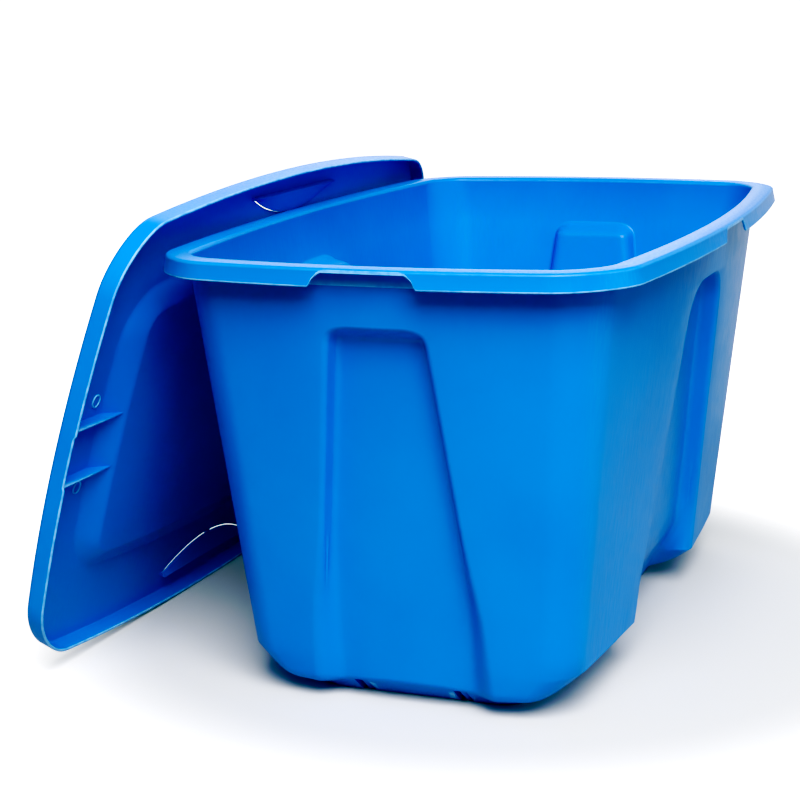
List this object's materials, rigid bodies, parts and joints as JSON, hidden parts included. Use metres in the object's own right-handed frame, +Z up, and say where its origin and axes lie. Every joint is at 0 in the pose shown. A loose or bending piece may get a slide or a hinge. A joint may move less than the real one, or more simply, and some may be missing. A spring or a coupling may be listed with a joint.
{
  "type": "lidded storage tote",
  "caption": "Deep plastic storage tote: tapered tub with a rolled rim, hand-holds and channelled walls, and a loose lid that leans against its side.",
  "frame": {"origin": "on the floor under the middle of the tub", "axes": "+Z up, +Y along the tub's long side, +X across it, away from the leaning lid"},
  "size_m": [0.6356, 0.8036, 0.4818],
  "materials": {
    "tub_plastic": "satin moulded polypropylene",
    "lid_plastic": "satin moulded polypropylene"
  },
  "bodies": {
    "tub": {"tub": "tub_plastic"},
    "lid": {"lid": "lid_plastic"}
  },
  "joints": [
    {"name": "lid_tip", "type": "hinge", "parent": "tub", "child": "lid", "pos_m": [-0.3776, 0.0035, 0.00806], "axis": [-0.0185, -0.9998, 0], "range_deg": [0, 107.4]}
  ]
}
